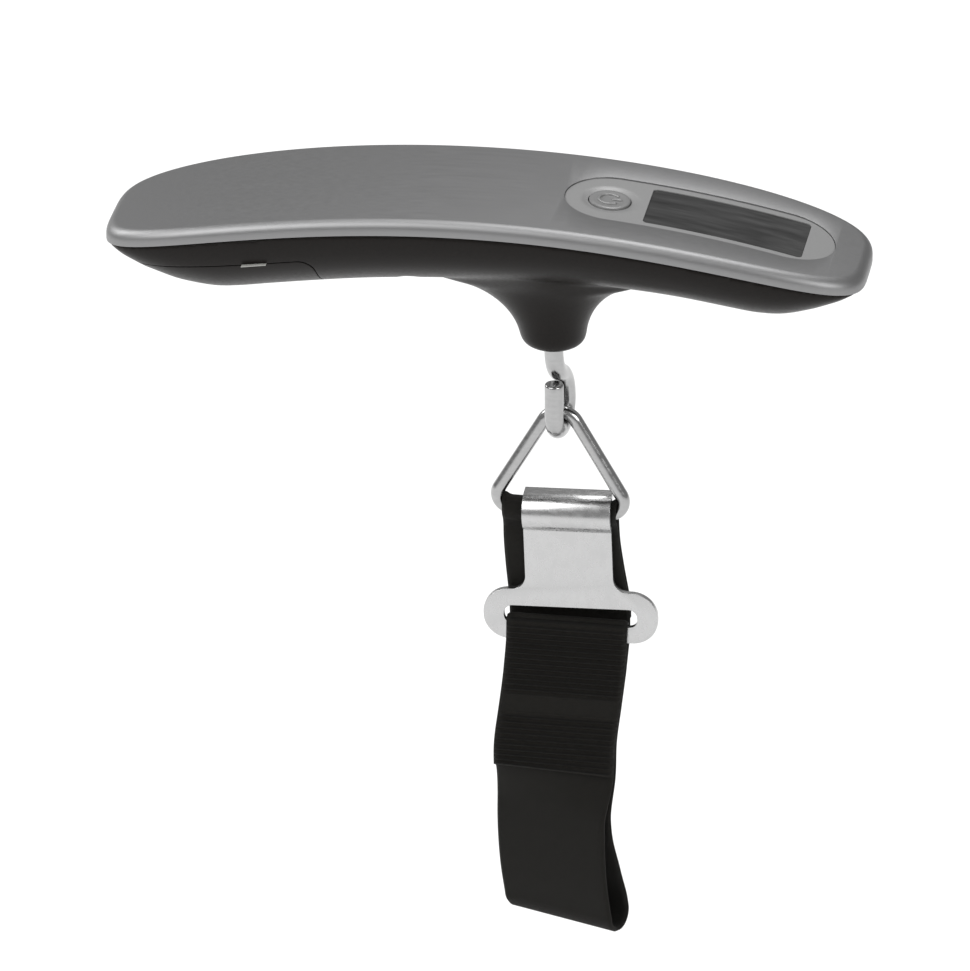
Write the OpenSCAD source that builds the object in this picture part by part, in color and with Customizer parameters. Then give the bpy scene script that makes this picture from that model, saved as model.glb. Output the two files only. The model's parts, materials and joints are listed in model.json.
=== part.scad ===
// Digital luggage scale: an arched T-shaped grip with a metal top cover, a display and a
// load cell inside, and a hook, a triangular ring and a webbing strap hanging below it.
// Millimetres. +Z up, +X towards the display end, origin at the grip's centre on the load line.

/* [Handle] */
// Length of the handle
body_len = 151; // [140:1:160]
// Width of the handle, front to back
body_w = 38; // [36:0.5:40]
// Rise of the arch from its ends to its middle
arch_rise = 10.5; // [8:0.5:13]
// How square the handle's rounded ends are in plan
end_power = 5; // [4:0.5:6]
// Distance of the stem's axis from the handle's middle, towards the display
stem_off = 13; // [11:0.5:15]
// Height of the top surface above the grip's centre
grip_h = 9; // [8:0.5:10]
// Wall thickness of the plastic casing
wall = 1.8; // [1.5:0.1:2]

/* [Cover] */
// Height of the metal cover's edge
skirt = 3; // [2.6:0.1:3.4]
// Radius of the cover's top edge
edge_r = 1.9; // [1.4:0.1:2.2]
// Thickness of the cover's sheet
sheet = 0.8; // [0.6:0.1:0.8]

/* [Display] */
// Length of the silver panel
panel_len = 53.2; // [52:0.2:54]
// Width of the silver panel
panel_w = 19; // [18:0.5:20]
// Length of the window
window_len = 31.2; // [29:0.2:32]
// Width of the window
window_w = 15.4; // [14:0.2:16]
// Radius of the power button
button_r = 4.1; // [3.5:0.1:4.4]
// Travel of the power button
button_travel = 0.4; // [0.2:0.1:0.4]

/* [Load path] */
// Diameter of the hook's wire
hook_d = 3.8; // [3.4:0.1:4]
// Radius of the hook's bend, at the wire's centre
hook_bend = 4.6; // [4.4:0.1:5]
// Turn of the hook about its shank, as it hangs
hook_turn = 6; // [0:1:10]
// Diameter of the ring's wire
ring_d = 2.8; // [2.6:0.1:3]
// Outside width of the ring
ring_w = 28.1; // [27.6:0.1:29]
// Thickness of the buckle's sheet
plate_t = 1.2; // [1:0.1:1.3]

/* [Strap] */
// Width of the webbing
strap_w = 24.5; // [22:0.5:25]
// Thickness of the webbing
strap_t = 1.1; // [0.9:0.1:1.1]
// Twist of the loop's lower end
strap_twist = 19; // [0:1:24]

/* [Hidden] */
$fn = 64;

half_len = body_len / 2;
arch_r = (half_len * half_len + arch_rise * arch_rise) / (2 * arch_rise);
side_power = 4;
gap = 0.1;

// Heights below the arched top surface
frame_top = sheet + gap;
frame_low = frame_top + 1.6;
casing_top = skirt + gap;
casing_inset = 0.25;

// Places along the handle, from its middle
panel_x = 42;
window_x = 47.4;
button_x = 24.2;
board_x = 45;
door_x = -32;
cell_x = -50;
switch_x = button_x - board_x;
plunger_low = -5.2;

// Seam of the battery door: a plane that slopes down to the end
seam_angle = 8.65;
seam_z = -5.4;
door_end = (door_x - cell_x) / cos(seam_angle);

// Belly: depth below the cover's edge at each place along the handle
belly = [
    [-half_len, 0], [-71, 4.6], [-66.5, 8.4], [-60, 12.4], [-52, 15.1], [-41, 15.4], [-22, 14.9],
    [0, 14.2], [22, 12.9], [38, 12.1], [54, 11.9], [60, 10.6], [66, 7.4], [71, 3.8], [half_len, 0]
];
belly_power = 2.2;

// Stem
stem_z = -33;
stem_hx = 6.5;
stem_hy = 7;
stem_edge = 2;
stem_bore = 3.2;

// Load cell beam
beam_x0 = -30;
beam_x1 = stem_off + 6;
beam_w = 12;
beam_top = -6;
beam_low = -14;
beam_mid = (beam_top + beam_low) / 2;
beam_bolts = [-26, -18];
gauge_xs = [-8, 3];

// Hook, in a frame whose origin is on the shank's axis at the arch's top
hook_r = hook_d / 2;
shank_top = -3.2;
shank_low = -34.5;
bend_z = -49.6;
bend_y = hook_bend + 0.2;
tip_z = -42.5;
bow_y = bend_y + hook_bend;
bow_angle = 2 * atan(bow_y / (shank_low - bend_z));
bow_r = (bow_y / 2) / (1 - cos(bow_angle));

// Ring
ring_r = ring_d / 2;
ring_x = bend_y * sin(hook_turn);
ring_y = bend_y * cos(hook_turn);
ring_top = bend_z - hook_bend + hook_r + ring_r + 0.05;
ring_low = -72.9;
apex_r = 3.75;
corner_r = 3;
corner_x = ring_w / 2 - ring_r - corner_r;

// Buckle
buckle_x = ring_x + 1.7;
tongue_w = 17.8;
buckle_tilt = 2;
lip_r = ring_r + strap_t + 0.45;
plate_y = ring_y - strap_t - 0.45 - plate_t / 2;
bar_top = ring_low - 16.6;
bar_h = 11.2;
bar_w = 35.4;
slot_w = 27.1;
slot_h = 4;
slot_z = bar_top - 3.7 - slot_h / 2;
rim_z = slot_z - slot_h / 2;
lip_start = 95;
lip_reach = 2;
lip_end = 180 + acos((ring_y - plate_y) / (lip_r + plate_t / 2));
lip_foot = ring_low - (lip_r + plate_t / 2) * sin(lip_end - 180);

// Casing screws: place along, place across, height of the head's seat, height of the tip
casing_screw_list = [[70.3, 0, -14.9, -11.7], [-14, 11.6, -11.6, -4.4], [-14, -10.2, -11.6, -4.4]];
board_screw_list = [[-20.5, 8.6], [-20.5, -8.6]];
board_pin_list = [[13, 9.7], [13, -9.7]];
board_pin_r = 0.8;
board_top = -7.2;
board_low = -8.4;

function arch_z(x) = sqrt(arch_r * arch_r - x * x) - arch_r;

function half_w(x, inset) =
    let (share = min(1, abs(x) / (half_len - inset)))
    (body_w / 2 - inset) * pow(max(0, 1 - pow(share, end_power)), 1 / side_power);

// Outline of the handle in plan
plan_steps = 18;

function plan_side(inset) = [for (i = [-plan_steps:plan_steps])
    let (x = (half_len - inset) * sin(90 * i / plan_steps)) [x, half_w(x, inset)]];

function plan_ring(inset) =
    let (side = plan_side(inset))
    concat(side, [for (i = [2 * plan_steps - 1:-1:1]) [side[i][0], -side[i][1]]]);

module plan(inset) polygon(plan_ring(inset));

function mix(a, b, t) = a + (b - a) * t;

// Catmull-Rom value between the second and third of four numbers
function smooth_mix(a, b, c, d, t) =
    0.5 * (2 * b + (c - a) * t + (2 * a - 5 * b + 4 * c - d) * t * t + (3 * b - a - 3 * c + d) * t * t * t);

function belly_row(x) = max([for (i = [0:len(belly) - 2]) belly[i][0] <= x ? i : 0]);

function belly_depth(x) =
    let (i = belly_row(x), last = len(belly) - 1, t = (x - belly[i][0]) / (belly[i + 1][0] - belly[i][0]))
    max(0, smooth_mix(belly[max(0, i - 1)][1], belly[i][1], belly[i + 1][1], belly[min(last, i + 2)][1], t));

function seam_at(x) = seam_z + x * tan(seam_angle);

// Stations along the handle, closer together towards its ends
function stations(inset, n) = [for (i = [0:n]) -(half_len - inset) * 0.998 * cos(180 * i / n)];

// A block under the arched top, drawn as rings in plan: levels is a list of [inset, depth] from
// its lowest ring to its highest
module arched_block(levels) {
    count = 4 * plan_steps;
    last = len(levels) - 1;
    points = [for (l = levels, p = plan_ring(l[0])) [p[0], p[1], arch_z(p[0]) - l[1]]];
    walls = [for (l = [0:last - 1], i = [0:count - 1])
        let (a = l * count, b = a + count, j = (i + 1) % count)
        each [[a + i, b + j, b + i], [a + i, a + j, b + j]]];
    // The flat strips across the bottom and the top
    strips = [for (i = [0:2 * plan_steps - 1])
        let (p = i, q = i + 1, r = (count - q) % count, s = (count - p) % count)
        i == 0 ? [p, r, q] : i == 2 * plan_steps - 1 ? [p, s, q] : [p, s, r, q]];
    top = [for (f = strips) [for (k = [len(f) - 1:-1:0]) f[k] + last * count]];
    polyhedron(points = points, faces = concat(strips, walls, top), convexity = 6);
}

function belly_section(x, inset, lift) =
    let (w = half_w(x, casing_inset + inset), depth = max(0.05, belly_depth(x) - inset),
        edge = arch_z(x) - casing_top)
    concat([[w, edge + lift]],
        [for (i = [0:12]) let (a = 180 * i / 12, c = cos(a), s = sin(a))
            [w * sign(c) * pow(abs(c), 2 / belly_power), edge - depth * pow(s, 2 / belly_power)]],
        [[-w, edge + lift]]);

module slice(x, points) translate([x, 0, 0]) rotate([90, 0, 90]) linear_extrude(0.1) polygon(points);

function edge_levels(inset, depth, r, steps) =
    [for (i = [0:steps]) let (a = 90 * i / steps) [inset + r * (1 - cos(a)), depth + r * (1 - sin(a))]];

module belly_solid(inset, lift, n) {
    xs = stations(casing_inset + inset, n);
    for (i = [0:n - 1]) hull() {
        slice(xs[i], belly_section(xs[i], inset, lift));
        slice(xs[i + 1], belly_section(xs[i + 1], inset, lift));
    }
}

// The stem in plan at height z: it flares into the belly on every side
function flare(z, z0, h, reach) = reach * (1 - sqrt(max(0, 1 - pow(min(1, max(0, (z - z0) / h)), 2))));

function stem_section(z) =
    let (edge = stem_edge * (1 - sqrt(max(0, 1 - pow(max(0, 1 - (z - stem_z) / stem_edge), 2)))),
        left = stem_off - stem_hx + edge - flare(z, stem_z, 15, 21.5),
        right = stem_off + stem_hx - edge + flare(z, stem_z + 1, 13.5, 13.5),
        half = stem_hy - edge + flare(z, stem_z + 2, 18, 9))
    [for (a = [0:15:345]) [(left + right) / 2 + (right - left) / 2 * cos(a), half * sin(a)]];

module stem_solid() {
    zs = [stem_z, stem_z + 0.3, stem_z + 0.9, stem_z + 2, -28, -25.5, -23, -21, -19.6, -18.6, -18.1, -14.5];
    for (i = [0:len(zs) - 2]) hull() {
        translate([0, 0, zs[i]]) linear_extrude(0.01) polygon(stem_section(zs[i]));
        translate([0, 0, zs[i + 1]]) linear_extrude(0.01) polygon(stem_section(zs[i + 1]));
    }
}

// A frame that stands on the arched surface at x, with +Z along its normal
module on_arch(x)
    translate([0, 0, -arch_r]) rotate([0, asin(x / arch_r), 0]) translate([0, 0, arch_r]) children();

// A frame on the door's seam below the middle of the coin cell
module on_seam() translate([cell_x, 0, seam_at(cell_x)]) rotate([0, -seam_angle, 0]) children();

module in_row() translate([-stem_off, 0, grip_h]) children();

module on_load_line() translate([0, 0, grip_h]) children();

// A layer of the handle between two depths below the arched surface, cut to an outline
module arched_layer(top, low) intersection() {
    translate([0, 0, -40]) linear_extrude(60) children();
    rotate([90, 0, 0]) translate([0, -arch_r, -body_w / 2]) difference() {
        cylinder(r = arch_r - top, h = body_w, $fn = 256);
        translate([0, 0, -1]) cylinder(r = arch_r - low, h = body_w + 2, $fn = 256);
    }
}

module stadium(length, width) {
    square([length - width, width], center = true);
    for (side = [-1, 1]) translate([side * (length - width) / 2, 0]) circle(d = width);
}

module round_rect(length, width, r) {
    square([length - 2 * r, width], center = true);
    square([length, width - 2 * r], center = true);
    for (sx = [-1, 1], sy = [-1, 1]) translate([sx * (length / 2 - r), sy * (width / 2 - r)]) circle(r = r);
}

module pin(r, z0, z1) translate([0, 0, z0]) cylinder(r = r, h = z1 - z0);

// ---- handle: outer pieces

module top_cover() color("silver") in_row() difference() {
    arched_block(concat([[0, skirt]], edge_levels(0, 0, edge_r, 5)));
    arched_block(concat([[sheet, skirt + 2]], edge_levels(sheet, sheet, edge_r - sheet / 2, 4)));
    translate([panel_x, 0, -20]) linear_extrude(40) stadium(panel_len + 2 * gap, panel_w + 2 * gap);
}

module upper_frame() color("dimgray") in_row() difference() {
    union() {
        difference() {
            arched_layer(frame_top, frame_low) plan(2);
            translate([panel_x, 0, -20]) linear_extrude(30) stadium(panel_len - 3, panel_w - 3);
        }
        arched_layer(frame_low - 0.6, skirt - 0.1) difference() {
            plan(1.1);
            plan(2.9);
        }
        for (s = casing_screw_list) translate([s[0], s[1], 0])
            pin(2.4, s[2] + 2.5, arch_z(s[0]) - frame_low + 0.3);
        on_arch(board_x) for (s = board_screw_list) translate([s[0], s[1], 0]) pin(2, board_top + 0.1, -2);
        on_arch(board_x) for (s = board_pin_list) translate([s[0], s[1], 0]) {
            pin(board_pin_r, board_low - 0.6, -2);
            pin(1.3, board_low - 0.7, board_low - gap);
        }
    }
    arched_layer(-1, frame_top + 1) translate([panel_x, 0]) stadium(panel_len + 2 * gap, panel_w + 2 * gap);
    for (s = casing_screw_list) translate([s[0], s[1], 0]) pin(1, s[2] + 1, s[3] + 0.2);
    on_arch(board_x) for (s = board_screw_list) translate([s[0], s[1], 0]) pin(0.9, -8, -4.6);
}

module display_panel() color("lightgray") in_row() difference() {
    arched_layer(0.2, frame_top + 0.9) translate([panel_x, 0]) stadium(panel_len, panel_w);
    arched_layer(-1, 1.3) translate([window_x, 0]) round_rect(window_len + 2 * gap, window_w + 2 * gap, 1);
    translate([window_x, 0, -20]) linear_extrude(40) round_rect(window_len - 2, window_w - 2, 0.6);
    on_arch(button_x) pin(button_r + 0.15, -5, 5);
}

module display_window() color("darkslategray") in_row()
    arched_layer(0.35, 1.2) translate([window_x, 0]) round_rect(window_len, window_w, 1);

module lower_casing() color("black") in_row() {
    difference() {
        union() {
            belly_solid(0, 0, 26);
            stem_solid();
        }
        difference() {
            belly_solid(wall, 6, 18);
            // Stem block, screw posts and load cell posts are left standing
            translate([stem_off, 0, -40]) cylinder(r = 6.4, h = 40 - 15.2);
            for (s = casing_screw_list) translate([s[0], s[1], -40]) cylinder(r = 3.4, h = 40 + s[2] + 2.3);
            for (x = beam_bolts) translate([x, 0, -40]) cylinder(r = 3.6, h = 40 + beam_low - gap);
            battery_walls();
        }
        pin_hole(stem_off, stem_bore);
        for (x = beam_bolts) translate([x, 0, 0]) pin(1.6, beam_low - 3.6, beam_low + 1);
        for (s = casing_screw_list) translate([s[0], s[1], 0]) {
            pin(2.5, -40, s[2]);
            pin(1.35, -40, s[2] + 4);
        }
        door_space();
    }
    on_seam() difference() {
        pin(11.3, -3.3, 0.2);
        pin(10.2, -4, 1);
        translate([8, -3.2, -4]) cube([4, 6.4, 5]);
        translate([3.7, -21, -0.45]) cube([6.6, 26, 0.3]);
    }
}

module pin_hole(x, r) translate([x, 0, -60]) cylinder(r = r, h = 60 - 4);

// Walls between the battery's space and the electronics: one above it and one at its inner end
module battery_walls() on_seam() {
    translate([-30, -30, 0]) cube([30 + door_end + 1.6, 60, 1.5]);
    translate([door_end + 0.1, -30, -20]) cube([1.2, 60, 21]);
}

// All that lies below the seam, out to the end of the handle
module door_space() on_seam() translate([-40, -30, -20]) cube([40 + door_end, 60, 20 - 0.2]);

module battery_door() color("black") in_row() difference() {
    intersection() {
        difference() {
            belly_solid(0, 0, 26);
            belly_solid(wall - 0.2, 3, 22);
        }
        on_seam() translate([-40, -30, -20]) cube([40 + door_end - 0.25, 60, 20 - 0.4]);
    }
    for (i = [0:4]) on_seam() translate([-6 + i * 2.2, -5, -14]) cube([0.9, 10, 14 - 9.2]);
}

// ---- handle: display and electronics

module lcd_glass() color("darkseagreen") in_row() on_arch(board_x) {
    translate([window_x - board_x - 16.5, -8.4, -6]) cube([33, 16.8, 1.3]);
    translate([window_x - board_x - 16.5, -7.2, -4.7]) cube([33, 14.4, 0.8]);
}

module zebra_strips() color("hotpink") in_row() on_arch(board_x)
    for (side = [-1, 1]) translate([window_x - board_x - 15, side * 7.2 - 0.8, -7.15]) cube([30, 1.6, 1.1]);

module circuit_board() color("darkgreen") in_row() on_arch(board_x) difference() {
    translate([-23, -11, board_low]) cube([40, 22, board_top - board_low]);
    for (s = board_screw_list) translate([s[0], s[1], 0]) pin(1.25, -9, -6);
    for (s = board_pin_list) translate([s[0], s[1], 0]) pin(board_pin_r + gap, -9, -6);
}

module board_components() color("dimgray") in_row() on_arch(board_x) {
    // Bonded chip, clock crystal, amplifier and small parts on the underside
    translate([0, 0, board_low - 0.05]) difference() {
        sphere(r = 4.6);
        translate([-6, -6, 0]) cube(12);
        translate([-6, -6, -13.4]) cube(12);
    }
    translate([8, -7, -10.4]) cube([7, 2.6, 1.95]);
    translate([8, 2, -10]) cube([5, 4, 1.55]);
    for (i = [0:4]) translate([-18 + i * 2.6, -9, -9.2]) cube([1.6, 0.8, 0.75]);
    for (i = [0:3]) translate([-12 + i * 3, 8, -9.2]) cube([2, 1.25, 0.75]);
}

module tact_switch() color("gainsboro") in_row() on_arch(board_x) translate([switch_x, 0, 0]) difference() {
    translate([-3, -3, -7.15]) cube([6, 6, 3]);
    pin(1.8, plunger_low - button_travel - 0.3, 0);
}

module switch_plunger() color("black") in_row()
    on_arch(board_x) translate([switch_x, 0, 0]) pin(1.7, plunger_low, -3.35);

module power_button() color("lightgray") in_row() on_arch(button_x) {
    pin(button_r, -2, -0.15);
    pin(button_r + 0.8, -2.4, -frame_top - 1);
}

module screw(r, length, head_r, head_h) {
    cylinder(r = r, h = length);
    difference() {
        translate([0, 0, -head_h]) cylinder(r = head_r, h = head_h);
        for (a = [0, 90]) rotate([0, 0, a]) translate([-head_r * 0.65, -0.25, -head_h - 0.1])
            cube([head_r * 1.3, 0.5, head_h * 0.6]);
    }
}

module board_screws() color("silver") in_row() on_arch(board_x)
    for (s = board_screw_list) translate([s[0], s[1], board_low - 0.05]) screw(0.85, 3.6, 1.7, 0.9);

module casing_screws() color("dimgray") in_row()
    for (s = casing_screw_list) translate([s[0], s[1], s[2] - 0.02]) screw(1, s[3] - s[2], 2.1, 1.4);

// ---- handle: battery

module coin_cell() color("silver") in_row() on_seam() {
    pin(10, -3.65, -1.25);
    pin(8.9, -1.3, -0.45);
}

// A strip of film between the cell and its contact, whose end stands out at the door's seam
module battery_pull_tab() color("white") in_row() on_seam()
    translate([4, 0.7 - body_w / 2, -0.36]) cube([5, 23, 0.12]);

module battery_contact_negative() color("gold") in_row() on_seam() {
    translate([-7, -2, -0.2]) cube([12, 4, 0.15]);
    translate([-7, -2, -0.4]) cube([3, 4, 0.25]);
}

module battery_contact_positive() color("gold") in_row() on_seam() {
    translate([10.25, -2.5, -4.1]) cube([0.3, 5, 4]);
    translate([6.5, -2.5, -4.1]) cube([4, 5, 0.3]);
}

// ---- handle: load cell

module load_cell() color("silver") in_row() difference() {
    translate([beam_x0, -beam_w / 2, beam_low]) cube([beam_x1 - beam_x0, beam_w, beam_top - beam_low]);
    for (x = gauge_xs) translate([x, beam_w / 2 + 1, beam_mid])
        rotate([90, 0, 0]) cylinder(r = 3.1, h = beam_w + 2);
    translate([gauge_xs[0], -beam_w / 2 - 1, beam_mid - 0.8])
        cube([gauge_xs[1] - gauge_xs[0], beam_w + 2, 1.6]);
    for (x = beam_bolts) translate([x, 0, 0]) {
        pin(2.15, beam_low - 1, beam_top + 1);
        translate([0, 0, beam_top - 2.3]) cylinder(r1 = 2.15, r2 = 4.15, h = 2.4);
    }
    translate([stem_off, 0, 0]) pin(hook_r + 0.15, beam_low - 1, beam_top + 1);
}

module load_cell_screws() color("dimgray") in_row() for (x = beam_bolts) translate([x, 0, 0]) {
    pin(1.5, beam_low - 3.4, beam_top - 2);
    difference() {
        translate([0, 0, beam_top - 2.2]) cylinder(r1 = 1.9, r2 = 3.9, h = 2.2);
        translate([0, 0, beam_top - 1.2]) cylinder(r = 1.4, h = 2, $fn = 6);
    }
}

module strain_gauges() color("orange") in_row() for (x = gauge_xs) {
    translate([x - 2.4, -2.6, beam_top + 0.02]) cube([4.8, 5.2, 0.12]);
    translate([x - 2.4, -2.6, beam_low - 0.14]) cube([4.8, 5.2, 0.12]);
}

module gauge_coating() color("white") in_row() for (x = gauge_xs) {
    translate([x - 2.9, -3.6, beam_top + 0.18]) cube([5.8, 7.2, 0.7]);
    translate([x - 2.9, -3.6, beam_low - 0.88]) cube([5.8, 7.2, 0.7]);
}

// A tube of round section along points; across is a direction the line never runs in
function unit(v) = v / norm(v);

module tube(points, r, sides, across, closed = false) {
    n = len(points);
    rings = [for (i = [0:n - 1])
        let (before = closed ? (i + n - 1) % n : max(0, i - 1),
            after = closed ? (i + 1) % n : min(n - 1, i + 1),
            t = unit(points[after] - points[before]), u = unit(cross(t, across)), v = cross(t, u))
        for (k = [0:sides - 1]) points[i] + r * (cos(360 * k / sides) * u + sin(360 * k / sides) * v)];
    walls = [for (i = [0:n - (closed ? 1 : 2)], k = [0:sides - 1])
        let (a = i * sides, b = ((i + 1) % n) * sides, k2 = (k + 1) % sides)
        each [[a + k, a + k2, b + k2], [a + k, b + k2, b + k]]];
    ends = closed ? [] : [[for (k = [sides - 1:-1:0]) k], [for (k = [0:sides - 1]) (n - 1) * sides + k]];
    polyhedron(points = rings, faces = concat(ends, walls), convexity = 6);
}

// Smooth curve through points, with a few steps between each pair
function through(points, steps) =
    let (n = len(points) - 1)
    concat([for (i = [0:n - 1], k = [0:steps - 1])
        smooth_mix(points[max(0, i - 1)], points[i], points[i + 1], points[min(n, i + 2)], k / steps)],
        [points[n]]);

// Middle lines of the wires
signal_route = [[-3, 3.4, -4.2], [1, 5, -4.1], [8, 7.4, -4.3], [17, 7.5, -5.2], [22.6, 6.2, -6.5]];
battery_route = [
    [-38, 2, -6.6], [-34, 5.2, -6.6], [-30, 7.3, -7], [-22, 7.3, -8.2],
    [-6, 7.3, -8.6], [8, 7.4, -8.7], [15, 8, -9.4], [22, 9, -10.8]
];

module signal_wires() color("red") in_row()
    for (i = [0:3]) tube(through([for (p = signal_route) p - [0, i * 0.72, 0]], 3), 0.32, 8, [0, 0.02, 1]);

module battery_wires() color("black") in_row()
    for (i = [0:1]) tube(through([for (p = battery_route) p + [0, 0, -i * 0.95]], 3), 0.4, 8, [0, 0.02, 1]);

// ---- hook

function arc_points(cy, cz, r, from, to, steps) =
    [for (i = [0:steps]) let (a = mix(from, to, i / steps)) [cy + r * cos(a), cz + r * sin(a)]];

function without_first(list) = [for (i = [1:len(list) - 1]) list[i]];

// Centre line of the hook as [y, z]: shank, an S-shaped sweep out to the back, the bend and the tip
hook_line = concat(
    [[0, shank_top]],
    arc_points(bow_r, shank_low, bow_r, 180, 180 + bow_angle, 6),
    without_first(arc_points(bow_y - bow_r, bend_z, bow_r, bow_angle, 0, 6)),
    without_first(arc_points(bend_y, bend_z, hook_bend, 0, -180, 14)),
    [[bend_y - hook_bend, tip_z]]
);

module hook() color("silver") on_load_line() rotate([0, 0, -hook_turn])
    tube([for (p = hook_line) [0, p[0], p[1]]], hook_r, 20, [1, 0, 0]);

module hook_washer() color("gainsboro") on_load_line() difference() {
    pin(4.4, beam_top + 0.02, beam_top + 0.8);
    pin(hook_r + 0.2, beam_top - 1, beam_top + 2);
}

module hook_nut() color("silver") on_load_line() difference() {
    translate([0, 0, beam_top + 0.85]) cylinder(r = 4, h = 1.9, $fn = 6);
    pin(hook_r, beam_top, beam_top + 4);
}

// ---- ring

// Direction of the straight leg from the apex's circle to the corner's
ring_low_c = [corner_x, ring_low + corner_r];
ring_top_c = [0, ring_top - apex_r];
leg_d = norm(ring_low_c - ring_top_c);
leg_angle = atan2(ring_low_c[0], ring_top_c[1] - ring_low_c[1]) - asin((apex_r - corner_r) / leg_d);

// Centre line of the ring as [x, z]: half of the apex, one leg, one corner and half of the bar
half_ring = concat(
    arc_points(ring_top_c[0], ring_top_c[1], apex_r, 90, leg_angle, 5),
    arc_points(ring_low_c[0], ring_low_c[1], corner_r, leg_angle, -90, 8)
);

ring_line = concat(half_ring, [for (i = [len(half_ring) - 1:-1:1]) [-half_ring[i][0], half_ring[i][1]]]);

module triangle_ring() color("silver") on_load_line() translate([ring_x, ring_y, 0])
    tube([for (p = ring_line) [p[0], 0, p[1]]], ring_r, 18, [0, 1, 0], true);

// ---- buckle

module buckle_outline() {
    translate([0, bar_top - bar_h / 2]) round_rect(bar_w, bar_h, bar_h / 2 - 0.3);
    translate([-tongue_w / 2, bar_top - 2]) square([tongue_w, 8]);
    for (side = [-1, 1]) translate([side * tongue_w / 2, bar_top - 0.01]) difference() {
        translate([side * 1.5, 1.5]) square(3.02, center = true);
        translate([side * 3, 3]) circle(r = 3);
    }
}

// Section of the tongue as [y, z]: the lip's arc, then the flat that it runs into
module lip_section() {
    out = [lip_reach * sin(lip_start), -lip_reach * cos(lip_start)];
    outer = arc_points(ring_y, ring_low, lip_r + plate_t, lip_start, lip_end, 12);
    inner = arc_points(ring_y, ring_low, lip_r, lip_end, lip_start, 12);
    polygon(concat([outer[0] + out], outer, inner, [inner[12] + out]));
    translate([plate_y - plate_t / 2, bar_top + 1]) square([plate_t, lip_foot - bar_top - 1]);
}

// Hangs with its lower end a little to the right, turned about the ring's bar
module buckle_plate() color("silver") on_load_line()
    translate([buckle_x, 0, ring_low]) rotate([0, -buckle_tilt, 0]) translate([0, 0, -ring_low]) {
    translate([0, plate_y + plate_t / 2, 0]) rotate([90, 0, 0]) linear_extrude(plate_t) difference() {
        buckle_outline();
        translate([0, slot_z]) stadium(slot_w, slot_h);
    }
    translate([-tongue_w / 2, 0, 0]) rotate([90, 0, 90]) linear_extrude(tongue_w) lip_section();
}

// ---- strap

function ease(t) = let (s = min(1, max(0, t))) s * s * (3 - 2 * s);

// Twist of the loop with height: none at the buckle, full below its sewn end
function twist_at(z) = -strap_twist * ease((tab_low + 5 - z) / 15);

// Share of the gathering at the ring's bar, where the webbing is narrower
function gather_at(z) = ease((z - ring_low + 5.5) / 4);

// Place of the webbing's middle across, by height: it leans to one side as it hangs
lean = [[-163, 2.8], [-152, 1.6], [-141, 0.9], [-130, 0.7], [-123, 0.3], [-115, 1], [-108, 1.7],
    [-98, 2.3], [-76, 1.6]];

function twisted(p) =
    let (a = twist_at(p[2]), g = gather_at(p[2]), x = p[0] * (1 - g * 0.19), y = p[1])
    [mix(lookup(p[2], lean), ring_x, g) + x * cos(a) - y * sin(a), x * sin(a) + y * cos(a), p[2]];

layer = strap_t / 2 + 0.05;
bar_wrap = ring_r + layer + 0.05;
rim_wrap = plate_t / 2 + layer + 0.05;
tab_low = -127.7;
tab_y = ring_y - 7;

// Centre line of the loop as [y, z]: sewn end behind the ring's bar, over the bar, down the back,
// round the bottom and up the front to the buckle's sewn end
loop_line = concat(
    [for (p = [[2.2, -24], [1.8, -18], [1.1, -11], [0.75, -5.5]]) [ring_y + p[0] + 0.05, ring_low + p[1]]],
    arc_points(ring_y, ring_low, bar_wrap, -20, 232, 12),
    [for (p = [[-0.5, -3.3], [-0.6, -5.5], [-0.2, -11], [0.5, -18], [0.95, -24]])
        [ring_y + p[0] - 0.05, ring_low + p[1]]],
    [[ring_y - 0.1, -108], [ring_y - 2, -118], [ring_y - 4.8, -128], [ring_y - 5.3, -134],
        [ring_y - 4.9, -141], [ring_y - 2.5, -150]],
    arc_points(ring_y - 4.6, -158.8, 3.7, 10, -190, 8),
    [[ring_y - 8.4, -146], [ring_y - 7.8, -136], [tab_y, tab_low - 1.6]]
);

// Centre line of the buckle's sewn end: up behind the slot's lower rim, over it and down the front
tab_line = concat(
    [[tab_y, tab_low], [tab_y + 1.9, tab_low + 8], [plate_y + rim_wrap - 1.5, rim_z - 14],
        [plate_y + rim_wrap - 0.1, rim_z - 5]],
    arc_points(plate_y, rim_z - 0.2, rim_wrap, 0, 180, 8),
    [[plate_y - rim_wrap - 0.1, rim_z - 5], [plate_y - rim_wrap - 0.9, rim_z - 14],
        [tab_y + 0.35, tab_low + 8], [tab_y - strap_t - 0.3, tab_low]]
);

// Smooth curve through points that lie at unequal distances, with points at most a step apart
function glide(points, step) =
    let (n = len(points) - 1)
    concat([for (i = [0:n - 1])
        let (a = points[max(0, i - 1)], b = points[i], c = points[i + 1], d = points[min(n, i + 2)])
        let (before = norm(b - a), l = norm(c - b), after = norm(d - c), way = (c - b) / l)
        let (start = before > 0 ? ((b - a) / before * l + way * before) / (before + l) : way)
        let (stop = after > 0 ? (way * after + (d - c) / after * l) / (l + after) : way)
        let (steps = ceil(l / step))
        for (k = [0:steps - 1]) let (t = k / steps)
            b * (2 * t * t * t - 3 * t * t + 1) + c * (3 * t * t - 2 * t * t * t)
            + l * start * (t * t * t - 2 * t * t + t) + l * stop * (t * t * t - t * t)],
        [points[n]]);

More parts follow.
